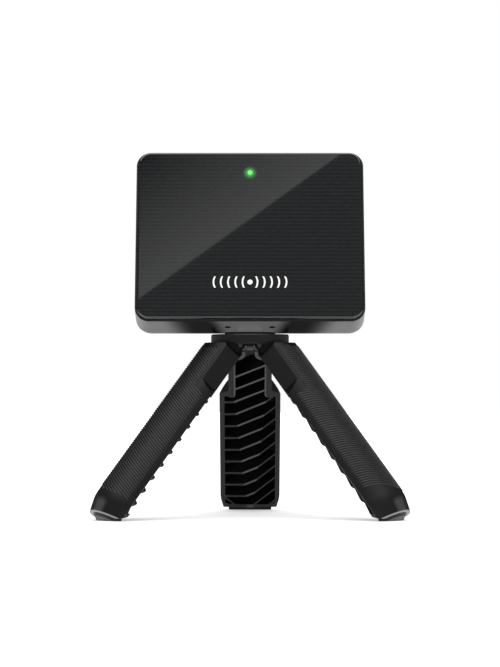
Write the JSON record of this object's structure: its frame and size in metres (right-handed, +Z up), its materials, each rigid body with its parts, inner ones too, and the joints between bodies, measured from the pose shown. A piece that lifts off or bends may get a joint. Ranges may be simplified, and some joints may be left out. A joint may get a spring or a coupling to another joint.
{
  "type": "golf launch monitor",
  "caption": "Flat radar head leaning back on a mini tripod with folding ribbed legs, for measuring golf shots.",
  "frame": {"origin": "on the floor under the middle of the object's box", "axes": "+Z up, the radar face looks towards -Y, +X to the right as seen from the front"},
  "size_m": [0.121, 0.108, 0.1424],
  "materials": {
    "cover_gloss": "smoked high gloss radome",
    "housing_matte": "fine matt moulded texture",
    "lens_green": "clear green light pipe",
    "mark_white": "white pad print",
    "seal_rubber": "soft silicone seal",
    "screw_steel": "black zinc steel",
    "insert_brass": "turned brass",
    "board_green": "solder mask over glass fibre",
    "patch_gold": "gold plated copper",
    "shield_tin": "tin plated steel",
    "frame_nylon": "glass filled nylon",
    "connector_black": "moulded connector",
    "battery_foil": "wrapped lithium cell",
    "foam_grey": "closed cell foam",
    "membrane_white": "vent membrane",
    "button_black": "satin key cap",
    "leg_black": "glass filled nylon, fine matt",
    "pad_rubber": "ribbed rubber",
    "stud_steel": "plated steel",
    "led_chip": "led chip"
  },
  "bodies": {
    "tripod": {"tripod_hub": "leg_black", "mount_stud": "stud_steel", "platform_pad": "pad_rubber", "hinge_pin_left": "screw_steel", "hinge_pin_right": "screw_steel", "hinge_pin_rear": "screw_steel"},
    "head": {"front_cover": "cover_gloss", "status_lens": "lens_green", "front_mark": "mark_white", "cover_gasket": "seal_rubber", "rear_housing": "housing_matte", "housing_screws": "screw_steel", "base_foot": "frame_nylon", "thread_insert": "insert_brass", "foot_screws": "screw_steel", "radar_board": "board_green", "antenna_patches": "patch_gold", "status_led": "led_chip", "radar_shield": "shield_tin", "board_frame": "frame_nylon", "main_board": "board_green", "board_screws": "screw_steel", "board_link": "connector_black", "main_shield": "shield_tin", "bluetooth_module": "shield_tin", "battery_plug": "connector_black", "battery_pack": "battery_foil", "battery_tray": "frame_nylon", "battery_foam": "foam_grey", "vent_membrane": "membrane_white", "button_boot": "seal_rubber", "tact_switch": "connector_black", "usb_socket": "shield_tin", "door_pin": "stud_steel"},
    "button": {"power_button": "button_black"},
    "door": {"usb_door": "button_black", "door_plug": "seal_rubber"},
    "leg_right_body": {"leg_right": "leg_black", "foot_pad_right": "pad_rubber"},
    "leg_rear_body": {"leg_rear": "leg_black", "foot_pad_rear": "pad_rubber"},
    "leg_left_body": {"leg_left": "leg_black", "foot_pad_left": "pad_rubber"}
  },
  "joints": [
    {"name": "leg_right_fold", "type": "hinge", "parent": "tripod", "child": "leg_right_body", "pos_m": [0.0052, -0.017, 0.0664], "axis": [0.5, 0.866, 0], "range_deg": [0, 38]},
    {"name": "leg_rear_fold", "type": "hinge", "parent": "tripod", "child": "leg_rear_body", "pos_m": [0, -0.008, 0.0664], "axis": [-1, 0, 0], "range_deg": [0, 38]},
    {"name": "leg_left_fold", "type": "hinge", "parent": "tripod", "child": "leg_left_body", "pos_m": [-0.0052, -0.017, 0.0664], "axis": [0.5, -0.866, 0], "range_deg": [0, 38]},
    {"name": "head_turn", "type": "hinge", "parent": "tripod", "child": "head", "pos_m": [0, -0.014, 0.0715], "axis": [0, 0, 1], "continuous": true},
    {"name": "power_press", "type": "slide", "parent": "head", "child": "button", "axis": [-1, 0, 0], "range_m": [0, 0.00035], "stiffness_N_per_m": 1500, "springref_m": -0.0002},
    {"name": "port_door_hinge", "type": "hinge", "parent": "head", "child": "door", "pos_m": [-0.0436, -0.00277, 0.11208], "axis": [0, 0.9527, -0.304], "range_deg": [0, 100]}
  ]
}
